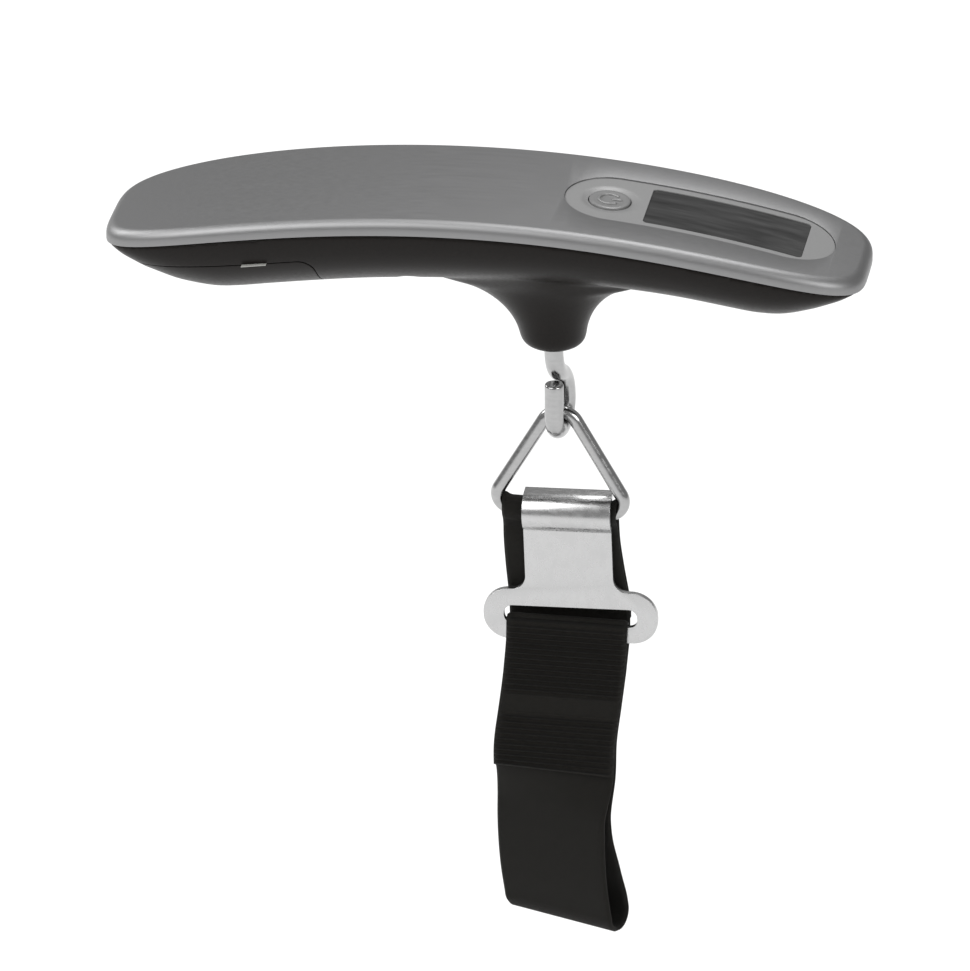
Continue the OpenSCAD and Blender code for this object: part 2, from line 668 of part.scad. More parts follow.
module ribbon(line, width, thick) {
    n = len(line);
    points = [for (i = [0:n - 1])
        let (t = unit(line[min(n - 1, i + 1)] - line[max(0, i - 1)]), out = [-t[1], t[0]])
        for (c = [[-1, -1], [1, -1], [1, 1], [-1, 1]])
            let (p = line[i] + c[1] * thick / 2 * out)
            twisted([c[0] * width / 2, p[0], p[1]])];
    walls = [for (i = [0:n - 2], k = [0:3])
        let (a = i * 4 + k, b = i * 4 + (k + 1) % 4)
        each [[a, b, b + 4], [a, b + 4, a + 4]]];
    ends = [[3, 2, 1, 0], [for (k = [0:3]) (n - 1) * 4 + k]];
    polyhedron(points = points, faces = concat(ends, walls), convexity = 6);
}

module strap_loop() color("black") on_load_line() ribbon(glide(loop_line, 1.8), strap_w, strap_t);

module strap_tab() color("black") on_load_line() ribbon(glide(tab_line, 1.8), strap_w, strap_t);

// Rows of stitches between two places [y, z], each a thin cord lying across the webbing
module stitch_rows(first, last, count)
    for (i = [0:count - 1]) let (p = first + (last - first) * i / (count - 1))
        translate([lookup(p[1], lean), p[0], p[1]]) rotate([0, 90, 0])
            cylinder(r = 0.3, h = strap_w - 3, center = true, $fn = 10);

module bar_stitching() color("dimgray") on_load_line()
    stitch_rows([ring_y + layer + 1.6, ring_low - 14], [ring_y + layer + 2.4, ring_low - 23], 6);

module tab_stitching() color("dimgray") on_load_line()
    stitch_rows([plate_y - rim_wrap - layer - 0.1, rim_z - 8], [tab_y + 0.55 - layer - 0.1, tab_low + 8], 6);

top_cover();
upper_frame();
display_panel();
display_window();
lcd_glass();
zebra_strips();
circuit_board();
board_components();
tact_switch();
board_screws();
lower_casing();
casing_screws();
battery_contact_negative();
battery_contact_positive();
coin_cell();
battery_pull_tab();
load_cell();
load_cell_screws();
strain_gauges();
gauge_coating();
signal_wires();
battery_wires();
hook_washer();
power_button();
switch_plunger();
battery_door();
hook();
hook_nut();
triangle_ring();
buckle_plate();
strap_loop();
strap_tab();
bar_stitching();
tab_stitching();
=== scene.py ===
"""The looks of a digital luggage scale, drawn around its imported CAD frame.

Shapes are drawn in millimetres, in the handle's own frame: X from the handle's middle towards the
display, Y to the back and Z up from the top of the arch. What hangs below is drawn in the same way
with X from the line of the load. on_handle() and on_load_line() turn both into the row's metres.
"""

import json
import math

import bmesh
import bpy
from mathutils import Matrix, Vector


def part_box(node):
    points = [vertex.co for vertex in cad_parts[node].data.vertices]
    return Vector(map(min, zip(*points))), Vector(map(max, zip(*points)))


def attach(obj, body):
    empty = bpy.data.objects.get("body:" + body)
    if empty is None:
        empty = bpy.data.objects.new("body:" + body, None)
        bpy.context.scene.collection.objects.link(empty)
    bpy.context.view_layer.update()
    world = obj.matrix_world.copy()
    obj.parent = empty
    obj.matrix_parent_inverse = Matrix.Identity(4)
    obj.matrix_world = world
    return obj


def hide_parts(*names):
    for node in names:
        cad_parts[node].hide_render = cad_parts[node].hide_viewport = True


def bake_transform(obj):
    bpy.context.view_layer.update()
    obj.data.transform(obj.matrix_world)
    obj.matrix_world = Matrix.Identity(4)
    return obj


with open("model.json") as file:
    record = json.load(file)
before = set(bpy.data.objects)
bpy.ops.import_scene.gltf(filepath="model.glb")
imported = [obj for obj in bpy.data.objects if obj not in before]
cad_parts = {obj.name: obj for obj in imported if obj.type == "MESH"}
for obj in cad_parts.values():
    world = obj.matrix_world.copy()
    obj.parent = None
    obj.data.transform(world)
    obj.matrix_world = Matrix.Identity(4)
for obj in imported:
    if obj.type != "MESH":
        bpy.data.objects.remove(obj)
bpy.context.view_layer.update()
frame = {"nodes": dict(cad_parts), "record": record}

MM = 0.001

# ---------------------------------------------------------------- sizes, from the frame and the part

cover_low, cover_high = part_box("top_cover")
SKIRT = 3.0
HALF_LEN = (cover_high.x - cover_low.x) / 2 / MM
BODY_W = (cover_high.y - cover_low.y) / MM
MIDDLE_X = (cover_high.x + cover_low.x) / 2 / MM
APEX_Z = cover_high.z / MM
ARCH_RISE = (cover_high.z - cover_low.z) / MM - SKIRT
ARCH_R = (HALF_LEN**2 + ARCH_RISE**2) / (2 * ARCH_RISE)
END_POWER = 5
SIDE_POWER = 4
EDGE_R = 1.9
SHEET = 0.8
WALL = 1.8
CASING_TOP = SKIRT + 0.1
CASING_INSET = 0.25
BELLY_POWER = 2.2

PANEL_X, PANEL_LEN, PANEL_W = 42, 53.2, 19
WINDOW_X, WINDOW_LEN, WINDOW_W = 47.4, 31.2, 15.4
BUTTON_X, BUTTON_R = 24.2, 4.1

DOOR_X, CELL_X = -32, -50
SEAM_ANGLE = math.radians(8.65)
SEAM_Z = -5.4
DOOR_END = (DOOR_X - CELL_X) / math.cos(SEAM_ANGLE)

STEM_X = -MIDDLE_X
STEM_Z = -33
STEM_HALF_X, STEM_HALF_Y = 6.5, 7
STEM_EDGE = 2

# Belly: depth below the cover's edge at each place along the handle
BELLY = [
    (-HALF_LEN, 0), (-71, 4.6), (-66.5, 8.4), (-60, 12.4), (-52, 15.1), (-41, 15.4), (-22, 14.9),
    (0, 14.2), (22, 12.9), (38, 12.1), (54, 11.9), (60, 10.6), (66, 7.4), (71, 3.8), (HALF_LEN, 0),
]

HOOK_R, HOOK_BEND, HOOK_TURN = 1.9, 4.6, math.radians(6)
SHANK_TOP, SHANK_LOW, BEND_Z, TIP_Z = -3.2, -34.5, -49.6, -42.5
BEND_Y = HOOK_BEND + 0.2
RING_R, RING_W, RING_LOW = 1.4, 28.1, -72.9
APEX_R, CORNER_R = 3.75, 3.0
CORNER_X = RING_W / 2 - RING_R - CORNER_R
RING_X, RING_Y = BEND_Y * math.sin(HOOK_TURN), BEND_Y * math.cos(HOOK_TURN)

STRAP_W, STRAP_T, STRAP_TWIST = 24.5, 1.1, math.radians(19)
PLATE_T = 1.2
TONGUE_W = 17.8
LIP_R = RING_R + STRAP_T + 0.45
PLATE_Y = RING_Y - STRAP_T - 0.45 - PLATE_T / 2
BAR_TOP, BAR_H, BAR_W = RING_LOW - 16.6, 11.2, 35.4
SLOT_W, SLOT_H = 27.1, 4
SLOT_Z = BAR_TOP - 3.7 - SLOT_H / 2
RIM_Z = SLOT_Z - SLOT_H / 2
BUCKLE_X = RING_X + 1.7
LIP_START, LIP_REACH = 95, 2
BUCKLE_TILT = math.radians(2)


# ---------------------------------------------------------------- small helpers


def on_handle(p):
    return Vector((p[0] + MIDDLE_X, p[1], p[2] + APEX_Z)) * MM


def on_load_line(p):
    return Vector((p[0], p[1], p[2] + APEX_Z)) * MM


def mix(a, b, t):
    return a + (b - a) * t


def ease(t):
    t = min(1, max(0, t))
    return t * t * (3 - 2 * t)


def curve_value(a, b, c, d, t):
    """Catmull-Rom value between b and c."""
    return 0.5 * (2 * b + (c - a) * t + (2 * a - 5 * b + 4 * c - d) * t**2 + (3 * b - a - 3 * c + d) * t**3)


def through(points, steps):
    """A smooth line through points, with some steps between each pair."""
    last = len(points) - 1
    line = []
    for i in range(last):
        near = [Vector(points[min(last, max(0, k))]) for k in (i - 1, i, i + 1, i + 2)]
        line += [curve_value(*near, k / steps) for k in range(steps)]
    return line + [Vector(points[last])]


def arc(cy, cz, r, start, stop, steps):
    angles = [math.radians(mix(start, stop, i / steps)) for i in range(steps + 1)]
    return [(cy + r * math.cos(a), cz + r * math.sin(a)) for a in angles]


def arch(x):
    return math.sqrt(ARCH_R**2 - x**2) - ARCH_R


def half_width(x, inset):
    share = min(1, abs(x) / (HALF_LEN - inset))
    return (BODY_W / 2 - inset) * (1 - share**END_POWER) ** (1 / SIDE_POWER)


def belly_depth(x):
    last = len(BELLY) - 1
    i = max(k for k in range(last) if BELLY[k][0] <= max(x, BELLY[0][0]))
    t = (x - BELLY[i][0]) / (BELLY[i + 1][0] - BELLY[i][0])
    near = [BELLY[min(last, max(0, k))][1] for k in (i - 1, i, i + 1, i + 2)]
    return max(0, curve_value(*near, t))


def new_object(name, points, faces, place=on_handle):
    mesh = bpy.data.meshes.new(name)
    mesh.from_pydata([place(p) for p in points], [], faces)
    work = bmesh.new()
    work.from_mesh(mesh)
    bmesh.ops.remove_doubles(work, verts=work.verts, dist=1e-7)
    bmesh.ops.recalc_face_normals(work, faces=work.faces)
    work.to_mesh(mesh)
    work.free()
    obj = bpy.data.objects.new(name, mesh)
    bpy.context.scene.collection.objects.link(obj)
    return obj


def apply_modifiers(obj):
    shaped = bpy.data.meshes.new_from_object(obj.evaluated_get(bpy.context.evaluated_depsgraph_get()))
    obj.modifiers.clear()
    obj.data = shaped


def combine(obj, other, operation):
    """Joins, cuts or crosses obj with another solid, which is used up."""
    modifier = obj.modifiers.new(operation, "BOOLEAN")
    modifier.operation = operation
    modifier.solver = "MANIFOLD"
    modifier.object = other
    apply_modifiers(obj)
    bpy.data.objects.remove(other)
    return obj


def round_edges(obj, width, angle=35, segments=2):
    """Bevels every edge sharper than an angle; width is in millimetres."""
    work = bmesh.new()
    work.from_mesh(obj.data)
    bmesh.ops.dissolve_degenerate(work, dist=1e-7, edges=work.edges)
    sharp = [e for e in work.edges if len(e.link_faces) == 2 and e.calc_face_angle(0) > math.radians(angle)]
    bmesh.ops.bevel(
        work, geom=sharp, offset=width * MM, segments=segments, profile=0.5, affect="EDGES",
        clamp_overlap=True,
    )
    work.to_mesh(obj.data)
    work.free()


def dress(obj, body, slot, sharp=30, nodes=()):
    """Smooths obj, gives it the finish of its slot and lets it ride on a body."""
    obj.data.shade_smooth()
    obj.data.set_sharp_from_angle(angle=math.radians(sharp))
    obj.data.materials.clear()
    obj.data.materials.append(FINISHES[slot])
    if body:
        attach(obj, body)
    if nodes:
        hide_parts(*nodes)
    return obj


def grid_faces(rows, columns, closed=False):
    """Faces of a grid of points, row by row; closed joins each row's end to its start."""
    faces = []
    for i in range(rows - 1):
        for k in range(columns if closed else columns - 1):
            j = (k + 1) % columns
            faces.append((i * columns + k, i * columns + j, (i + 1) * columns + j, (i + 1) * columns + k))
    return faces


def lathe(name, profile, steps=64, matrix=None):
    """A solid turned about Z from [radius, height] points that start and end on the axis."""
    inner = profile[1:-1]
    points = [(r * math.cos(a), r * math.sin(a), z) for r, z in inner
              for a in [2 * math.pi * k / steps for k in range(steps)]]
    faces = grid_faces(len(inner), steps, closed=True)
    first, last = len(points), len(points) + 1
    points += [(0, 0, profile[0][1]), (0, 0, profile[-1][1])]
    base = (len(inner) - 1) * steps
    for k in range(steps):
        j = (k + 1) % steps
        faces.append((first, k, j))
        faces.append((last, base + j, base + k))
    if matrix:
        points = [matrix @ Vector(p) for p in points]
    return new_object(name, points, faces)


def prism(name, outline, direction, place=on_handle, origin=(0, 0, 0)):
    """A solid from an outline of points moved along a direction."""
    shift = Vector(direction)
    start = [Vector(p) + Vector(origin) for p in outline]
    points = start + [p + shift for p in start]
    n = len(outline)
    faces = [tuple(range(n)), tuple(range(2 * n - 1, n - 1, -1))]
    faces += [(k, k + n, (k + 1) % n + n, (k + 1) % n) for k in range(n)]
    return new_object(name, points, faces, place)


def cylinder(name, x, y, r, z0, z1, place=on_handle, steps=48):
    ring = [(x + r * math.cos(2 * math.pi * k / steps), y + r * math.sin(2 * math.pi * k / steps), z0)
            for k in range(steps)]
    return prism(name, ring, (0, 0, z1 - z0), place)


def box(name, low, high, place=on_handle):
    (x0, y0, z0), (x1, y1, z1) = low, high
    ring = [(x0, y0, z0), (x1, y0, z0), (x1, y1, z0), (x0, y1, z0)]
    return prism(name, ring, (0, 0, z1 - z0), place)


def tube(name, line, radii, sides, across, closed=False, place=on_load_line):
    """A tube of round section along a line; across is a direction that the line never runs in."""
    n = len(line)
    points = []
    for i, p in enumerate(line):
        before = line[(i - 1) % n] if closed else line[max(0, i - 1)]
        after = line[(i + 1) % n] if closed else line[min(n - 1, i + 1)]
        along = (Vector(after) - Vector(before)).normalized()
        u = along.cross(Vector(across)).normalized()
        v = along.cross(u)
        for k in range(sides):
            a = 2 * math.pi * k / sides
            points.append(Vector(p) + radii[i] * (math.cos(a) * u + math.sin(a) * v))
    faces = grid_faces(n, sides, closed=True)
    if closed:
        base = (n - 1) * sides
        faces += [(base + k, base + (k + 1) % sides, (k + 1) % sides, k) for k in range(sides)]
    else:
        faces += [tuple(range(sides)), tuple(range(n * sides - 1, (n - 1) * sides - 1, -1))]
    return new_object(name, points, faces, place)


# ---------------------------------------------------------------- finishes


def texture(tree, scale, detail=3.0, coordinates="Object"):
    """A noise texture whose grain has its own scale along each axis, per metre."""
    where = tree.nodes.new("ShaderNodeTexCoord")
    mapping = tree.nodes.new("ShaderNodeMapping")
    mapping.inputs["Scale"].default_value = scale
    noise = tree.nodes.new("ShaderNodeTexNoise")
    noise.inputs["Scale"].default_value = 1
    noise.inputs["Detail"].default_value = detail
    tree.links.new(where.outputs[coordinates], mapping.inputs["Vector"])
    tree.links.new(mapping.outputs["Vector"], noise.inputs["Vector"])
    return noise.outputs["Fac"]


def spread(tree, value, low, high, start=0.3, stop=0.7):
    scale = tree.nodes.new("ShaderNodeMapRange")
    for name, number in (("From Min", start), ("From Max", stop), ("To Min", low), ("To Max", high)):
        scale.inputs[name].default_value = number
    tree.links.new(value, scale.inputs["Value"])
    return scale.outputs["Result"]


def two_colours(tree, value, dark, light):
    ramp = tree.nodes.new("ShaderNodeValToRGB")
    ramp.color_ramp.elements[0].position = 0.3
    ramp.color_ramp.elements[1].position = 0.7
    ramp.color_ramp.elements[0].color = (*dark, 1)
    ramp.color_ramp.elements[1].color = (*light, 1)
    tree.links.new(value, ramp.inputs["Fac"])
    return ramp.outputs["Color"]


def bumped(tree, value, height, strength=1.0, before=None):
    bump = tree.nodes.new("ShaderNodeBump")
    bump.inputs["Strength"].default_value = strength
    bump.inputs["Distance"].default_value = height
    tree.links.new(value, bump.inputs["Height"])
    if before:
        tree.links.new(before, bump.inputs["Normal"])
    return bump.outputs["Normal"]


def new_finish(name, metallic=0.0, **constants):
    material = bpy.data.materials.new(name)
    material.use_nodes = True
    shader = material.node_tree.nodes["Principled BSDF"]
    shader.inputs["Metallic"].default_value = metallic
    for socket, value in constants.items():
        shader.inputs[socket.replace("_", " ")].default_value = value
    return material, material.node_tree, shader


def finish(name, colour, metallic=0.0, roughness=0.5, grain=(900, 900, 900), tint=0.12, wear=0.06,
           bump=0.00002, bump_grain=(6000, 6000, 6000), strength=0.4, **constants):
    """A finish whose colour, roughness and surface vary with a grain of their own."""
    material, tree, shader = new_finish(name, metallic, **constants)
    marks = texture(tree, grain)
    dark = [c * (1 - tint) for c in colour]
    light = [min(1, c * (1 + tint)) for c in colour]
    tree.links.new(two_colours(tree, marks, dark, light), shader.inputs["Base Color"])
    smoothest = max(0.02, roughness - wear)
    tree.links.new(spread(tree, marks, smoothest, roughness + wear), shader.inputs["Roughness"])
    tree.links.new(bumped(tree, texture(tree, bump_grain), bump, strength), shader.inputs["Normal"])
    return material


def webbing_finish(name):
    """Woven nylon: fine ribs along the webbing, crossed by a finer weft; its colour is darkened in the rib
    valleys and lightened on the crests as painted shade and painted highlight.
    """
    material, tree, shader = new_finish(name, Sheen_Weight=0.03, Sheen_Roughness=0.5, Specular_IOR_Level=0.14)
    where = tree.nodes.new("ShaderNodeUVMap")
    where.uv_map = "weave"
    warp = tree.nodes.new("ShaderNodeTexWave")
    warp.bands_direction = "X"
    warp.inputs["Scale"].default_value = 11
    warp.inputs["Distortion"].default_value = 0.6
    warp.inputs["Detail"].default_value = 1.5
    weft = tree.nodes.new("ShaderNodeTexWave")
    weft.bands_direction = "Y"
    weft.inputs["Scale"].default_value = 22
    weft.inputs["Distortion"].default_value = 0.8
    for wave in (warp, weft):
        tree.links.new(where.outputs["UV"], wave.inputs["Vector"])
    fuzz = texture(tree, (2500, 2500, 2500))
    rib_painted_shade = tree.nodes.new("ShaderNodeAttribute")
    rib_painted_shade.attribute_name = "rib_painted_shade"
    # Rib height scales the base colour: painted shade in the rib valleys, painted highlight on the rib
    # crests.
    shade = tree.nodes.new("ShaderNodeVectorMath")
    shade.operation = "SCALE"
    nylon = two_colours(tree, fuzz, (0.006, 0.0055, 0.0043), (0.0145, 0.0132, 0.0108))
    tree.links.new(nylon, shade.inputs[0])
    tree.links.new(spread(tree, rib_painted_shade.outputs["Fac"], 0.35, 1.65, 0, 1), shade.inputs["Scale"])
    tree.links.new(shade.outputs["Vector"], shader.inputs["Base Color"])
    tree.links.new(spread(tree, fuzz, 0.62, 0.82), shader.inputs["Roughness"])
    first = bumped(tree, warp.outputs["Fac"], 0.00007, 0.6)
    tree.links.new(bumped(tree, weft.outputs["Fac"], 0.00006, 0.6, first), shader.inputs["Normal"])
    return material


FINISHES = {
    "cover_steel": finish("cover_steel", (0.27, 0.27, 0.272), 1, 0.48, (25, 5000, 5000), 0.035, 0.03,
                          0.000004, (40, 9000, 9000), 0.12),
    "panel_silver": finish("panel_silver", (0.27, 0.27, 0.27), 0.4, 0.45, (3000, 3000, 3000), 0.03, 0.03,
                           0.00001, (9000, 9000, 9000), 0.2),
    "window_smoke": finish("window_smoke", (0.026, 0.026, 0.026), 0, 0.14, (18, 420, 420), 0.75, 0.03,
                           0.00001, (40, 700, 700), 0.25, Specular_IOR_Level=0.4),
    "casing_black": finish("casing_black", (0.0062, 0.0048, 0.004), 0, 0.38, (1500, 1500, 1500), 0.2, 0.05,
                           0.00003, (4500, 4500, 4500), 0.25, Specular_IOR_Level=0.17),
    "frame_grey": finish("frame_grey", (0.06, 0.06, 0.065), 0, 0.5),
    "lcd_green": finish("lcd_green", (0.3, 0.34, 0.28), 0, 0.12, (300, 300, 300), 0.06),
    "zebra_pink": finish("zebra_pink", (0.5, 0.22, 0.26), 0, 0.6, (30, 4000, 4000), 0.3),
    "board_green": finish("board_green", (0.012, 0.09, 0.035), 0, 0.35, (700, 700, 700), 0.35),
    "chip_black": finish("chip_black", (0.014, 0.014, 0.014), 0, 0.35),
    "switch_metal": finish("switch_metal", (0.55, 0.55, 0.55), 1, 0.3),
    "screw_steel": finish("screw_steel", (0.5, 0.5, 0.51), 1, 0.28, (2500, 2500, 2500), 0.15),
    "screw_black": finish("screw_black", (0.03, 0.03, 0.03), 1, 0.4, (2500, 2500, 2500), 0.3),
    "contact_nickel": finish("contact_nickel", (0.62, 0.59, 0.5), 1, 0.2, (1500, 1500, 1500), 0.1),
    "cell_steel": finish("cell_steel", (0.6, 0.6, 0.61), 1, 0.24, (60, 3000, 3000), 0.08),
    "film_clear": finish("film_clear", (0.4, 0.4, 0.38), 0, 0.25, (700, 700, 700), 0.05),
    "beam_aluminium": finish("beam_aluminium", (0.62, 0.63, 0.65), 1, 0.32, (80, 3000, 3000), 0.1),
    "gauge_foil": finish("gauge_foil", (0.5, 0.22, 0.05), 0, 0.3, (2500, 200, 2500), 0.35),
    "coating_white": finish("coating_white", (0.7, 0.7, 0.66), 0, 0.45, (800, 800, 800), 0.08),
    "wire_red": finish("wire_red", (0.4, 0.015, 0.015), 0, 0.4),
    "wire_black": finish("wire_black", (0.015, 0.015, 0.015), 0, 0.4),
    "button_silver": finish("button_silver", (0.22, 0.22, 0.22), 0.4, 0.42, (3000, 3000, 3000), 0.03, 0.03,
                            0.00001, (9000, 9000, 9000), 0.2),
    "hook_chrome": finish("hook_chrome", (0.4, 0.4, 0.4), 1, 0.2, (500, 500, 1500), 0.06, 0.05,
                          0.00003, (900, 900, 900), 0.25),
    "plate_steel": finish("plate_steel", (0.52, 0.52, 0.52), 1, 0.27, (500, 2500, 300), 0.05, 0.06,
                          0.00003, (500, 500, 500), 0.2),
    "webbing_black": webbing_finish("webbing_black"),
    "thread_black": finish("thread_black", (0.0085, 0.008, 0.007), 0, 0.7, (4000, 4000, 4000), 0.3,
                           Specular_IOR_Level=0.2),
}


# ---------------------------------------------------------------- handle: cover and panel

PLAN_STEPS = 56


def plan_ring(inset, depth):
    """A closed ring in plan at an inset from the handle's outline, at a depth below the arch."""
    steps = range(-PLAN_STEPS, PLAN_STEPS + 1)
    xs = [(HALF_LEN - inset) * math.sin(math.pi / 2 * i / PLAN_STEPS) for i in steps]
    side = [(x, half_width(x, inset)) for x in xs]
    ring = side + [(x, -y) for x, y in reversed(side[1:-1])]
    return [(x, y, arch(x) - depth) for x, y in ring]


def strips(offset, flip):
    """Flat strips across the handle that close a ring."""
    count = 4 * PLAN_STEPS
    faces = []
    for i in range(2 * PLAN_STEPS):
        corners = [i, i + 1, (count - i - 1) % count, (count - i) % count]
        corners = list(dict.fromkeys(corners))
        faces.append([c + offset for c in (reversed(corners) if flip else corners)])
    return faces


def edge_levels(inset, depth, r, steps):
    angles = [math.pi / 2 * i / steps for i in range(steps + 1)]
    return [(inset + r * (1 - math.cos(a)), depth + r * (1 - math.sin(a))) for a in angles]


def stacked_rings(name, levels):
    count = 4 * PLAN_STEPS
    points = [p for inset, depth in levels for p in plan_ring(inset, depth)]
    faces = grid_faces(len(levels), count, closed=True)
    faces += strips(0, True) + strips((len(levels) - 1) * count, False)
    return new_object(name, points, faces)


def stadium_width(length, width):
    """Half the width of a stadium at a distance from its middle."""
    r = width / 2
    return lambda dx: math.sqrt(max(0, r**2 - max(0, abs(dx) - (length / 2 - r)) ** 2))


def rounded_width(length, width, r):
    """Half the width of a rectangle with rounded corners at a distance from its middle."""
    return lambda dx: width / 2 - r + math.sqrt(max(0, r**2 - max(0, abs(dx) - (length / 2 - r)) ** 2))


def arched_plate(name, middle, length, width_at, top, bottom, columns=120, across=24, sink=None):
    """A plate that follows the arch between two depths below it. sink adds to its top's depth."""
    points = []
    for low in (False, True):
        for i in range(columns + 1):
            dx = -length / 2 * math.cos(math.pi * i / columns)
            x = middle + dx
            w = max(0.03, width_at(dx))
            for j in range(across + 1):
                y = w * (2 * j / across - 1)
                depth = bottom if low else top + (sink(x, y) if sink else 0)
                points.append((x, y, arch(x) - depth))
    n = across + 1
    half = (columns + 1) * n
    upper = grid_faces(columns + 1, n)
    faces = upper + [tuple(half + k for k in reversed(f)) for f in upper]
    for i in range(columns):
        for j in (0, across):
            a, b = i * n + j, (i + 1) * n + j
            faces.append((a, b, b + half, a + half))
    for j in range(across):
        for i in (0, columns):
            a, b = i * n + j, i * n + j + 1
            faces.append((a, b, b + half, a + half))
    return new_object(name, points, faces)


def on_arch(x):
    """The frame that stands on the arched surface at x, with Z along its normal."""
    return (
        Matrix.Translation((0, 0, -ARCH_R))
        @ Matrix.Rotation(math.asin(x / ARCH_R), 4, "Y")
        @ Matrix.Translation((0, 0, ARCH_R))
    )


def disc(name, r, z0, z1, matrix=None):
    return lathe(name, [(0, z0), (r, z0), (r, z1), (0, z1)], 96, matrix)


def make_cover():
    inner = edge_levels(SHEET, SHEET, EDGE_R - SHEET / 2, 6)[::-1] + [(SHEET, SKIRT)]
    outer = [(0.0, SKIRT)] + edge_levels(0, 0, EDGE_R, 12)
    cover = stacked_rings("top_cover_skin", inner + outer)
    opening = arched_plate("opening", PANEL_X, PANEL_LEN + 0.2,
                           stadium_width(PANEL_LEN + 0.2, PANEL_W + 0.2), -3, 5)
    combine(cover, opening, "DIFFERENCE")
    round_edges(cover, 0.14, 50)
    dress(cover, "handle", "cover_steel", 30, ["top_cover"])


def dish(x, y):
    """The shallow dish that the button stands in."""
    r = math.hypot(x - BUTTON_X, y)
    return 0.38 * (1 - ease((r - BUTTON_R - 0.2) / 1.7))


def make_panel():
    panel = arched_plate("panel", PANEL_X, PANEL_LEN, stadium_width(PANEL_LEN, PANEL_W), 0.25, 1.8,
                         150, 60, dish)
    recess = arched_plate("recess", WINDOW_X, WINDOW_LEN + 0.15,
                          rounded_width(WINDOW_LEN + 0.15, WINDOW_W + 0.15, 1), -2, 1.35, 60, 4)
    through_hole = arched_plate("hole", WINDOW_X, WINDOW_LEN - 2,
                                rounded_width(WINDOW_LEN - 2, WINDOW_W - 2, 0.6), -2, 6, 40, 4)
    combine(panel, recess, "DIFFERENCE")
    combine(panel, through_hole, "DIFFERENCE")
    combine(panel, disc("bore", BUTTON_R + 0.2, -5, 3, on_arch(BUTTON_X)), "DIFFERENCE")
    round_edges(panel, 0.12, 50)
    dress(panel, "handle", "panel_silver", 30, ["display_panel"])


def make_window():
    window = arched_plate("window", WINDOW_X, WINDOW_LEN,
                          rounded_width(WINDOW_LEN, WINDOW_W, 1), 0.4, 1.3, 70, 8)
    round_edges(window, 0.1, 50)
    dress(window, "handle", "window_smoke", 30, ["display_window"])


def make_button():
    matrix = on_arch(BUTTON_X)
    r = BUTTON_R
    profile = [(0, -2.0), (r + 0.8, -2.0), (r + 0.8, -1.6), (r, -1.6), (r, -0.5), (r - 0.06, -0.32),
               (r - 0.25, -0.2), (r - 0.7, -0.19), (r - 1.1, -0.24), (1.2, -0.3), (0, -0.31)]
    button = lathe("button", profile, 96, matrix)
    dress(button, "button", "button_silver", 35, ["power_button"])
    # Raised sign: most of a ring, and a bar in its opening
    sign_r, line = 2.1, 0.3
    ring = [(sign_r * math.cos(a), sign_r * math.sin(a), -0.26)
            for a in [math.radians(mix(42, 318, i / 40)) for i in range(41)]]
    bar = [(0.35 + 2.1 * i / 8, 0, -0.27) for i in range(9)]
    for name, points in (("sign_ring", ring), ("sign_bar", bar)):
        radii = [line * min(1, 0.55 + 0.45 * min(i, len(points) - 1 - i)) for i in range(len(points))]
        sign = tube(name, [matrix @ Vector(p) for p in points], radii, 14, (0, 0.01, 1), place=on_handle)
        dress(sign, "button", "button_silver", 40)


# ---------------------------------------------------------------- handle: casing and battery door


def belly_section(x, inset, lift, steps):
    w = half_width(x, CASING_INSET + inset)
    depth = max(0.05, belly_depth(x) - inset)
    edge = arch(x) - CASING_TOP
    ring = []
    for i in range(steps + 1):
        c, s = math.cos(math.pi * i / steps), math.sin(math.pi * i / steps)
        out = math.copysign(w * abs(c) ** (2 / BELLY_POWER), c)
        ring.append((x, out, edge - depth * max(0, s) ** (2 / BELLY_POWER)))
    top = [(x, -w * (1 - 2 * k / 6), edge + lift) for k in range(7)]
    return ring + top


def belly_solid(name, inset, lift, stations=110, steps=48):
    reach = (HALF_LEN - CASING_INSET - inset) * 0.9995
    xs = [-reach * math.cos(math.pi * i / stations) for i in range(stations + 1)]
    rings = [belly_section(x, inset, lift, steps) for x in xs]
    n = len(rings[0])
    faces = grid_faces(len(rings), n, closed=True)
    faces += [tuple(range(n)), tuple(range(len(rings) * n - 1, (len(rings) - 1) * n - 1, -1))]
    return new_object(name, [p for ring in rings for p in ring], faces)


def flare(z, low, height, reach):
    """How far the stem's side leans out at a height, as a quarter of an ellipse."""
    share = min(1, max(0, (z - low) / height))
    return reach * (1 - math.sqrt(1 - share**2))


def stem_ring(z, steps=96):
    share = max(0, 1 - (z - STEM_Z) / STEM_EDGE)
    edge = STEM_EDGE * (1 - math.sqrt(max(0, 1 - share**2)))
    left = STEM_X - STEM_HALF_X + edge - flare(z, STEM_Z, 15, 21.5)
    right = STEM_X + STEM_HALF_X - edge + flare(z, STEM_Z + 1, 13.5, 13.5)
    half = STEM_HALF_Y - edge + flare(z, STEM_Z + 2, 18, 9)
    angles = [2 * math.pi * k / steps for k in range(steps)]
    return [((left + right) / 2 + (right - left) / 2 * math.cos(a), half * math.sin(a), z) for a in angles]


def stem_solid():
    zs = [STEM_Z + STEM_EDGE * (1 - math.cos(math.pi / 2 * i / 8)) for i in range(9)]
    zs += [mix(STEM_Z + STEM_EDGE, -18.05, math.sin(math.pi / 2 * i / 40)) for i in range(1, 41)] + [-14.5]
    rings = [stem_ring(z) for z in zs]
    n = len(rings[0])
    faces = grid_faces(len(rings), n, closed=True)
    faces += [tuple(range(n)), tuple(range(len(rings) * n - 1, (len(rings) - 1) * n - 1, -1))]
    return new_object("stem", [p for ring in rings for p in ring], faces)


